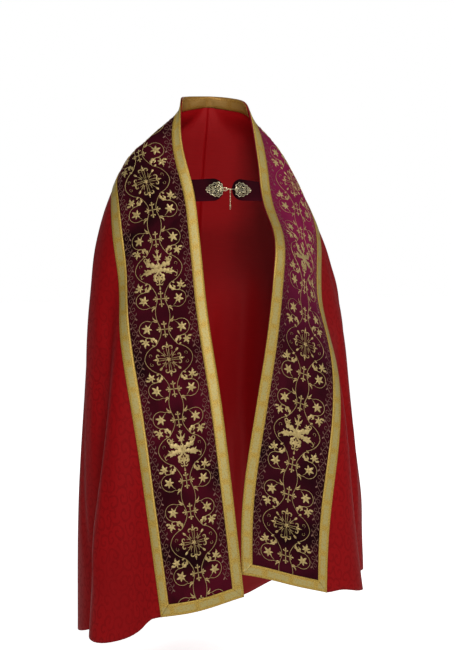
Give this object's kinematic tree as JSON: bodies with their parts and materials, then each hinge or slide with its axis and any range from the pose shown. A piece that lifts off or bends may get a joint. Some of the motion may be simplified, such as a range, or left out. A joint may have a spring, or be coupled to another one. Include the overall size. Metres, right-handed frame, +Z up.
{
  "type": "cope vestment",
  "caption": "Full-length red damask liturgical cape, open in front, with burgundy velvet bands, gold galloon and a two-tab metal clasp, shaped as worn.",
  "frame": {"origin": "the nape, on the collar's upper edge at the centre back, where the garment rests on its wearer", "axes": "+Z up along the wearer, the wearer faces -Y, +X to the wearer's left"},
  "size_m": [0.78, 0.7135, 1.4716],
  "materials": {
    "damask": "woven pattern of satin on a matt ground",
    "lining": "plain satin",
    "velvet": "pile velvet with gold embroidery",
    "galloon": "woven metallic-thread braid",
    "clasp": "pale, pierced and lightly polished"
  },
  "bodies": {
    "cope": {"body_left": "damask", "body_right": "damask", "lining_left": "lining", "lining_right": "lining", "orphrey_left": "velvet", "orphrey_right": "velvet", "galloon_front": "galloon", "galloon_outer": "galloon", "galloon_neck": "galloon", "galloon_hem_left": "galloon", "galloon_hem_right": "galloon", "tab_left": "velvet", "tab_right": "velvet", "plate_left": "clasp", "plate_right": "clasp"},
    "chain_drop": {"chain_drop": "clasp"}
  },
  "joints": [
    {"name": "drop_swing", "type": "hinge", "parent": "cope", "child": "chain_drop", "pos_m": [0.0142, -0.2069, -0.248], "axis": [1, 0, 0], "range_deg": [-75, 75]}
  ]
}
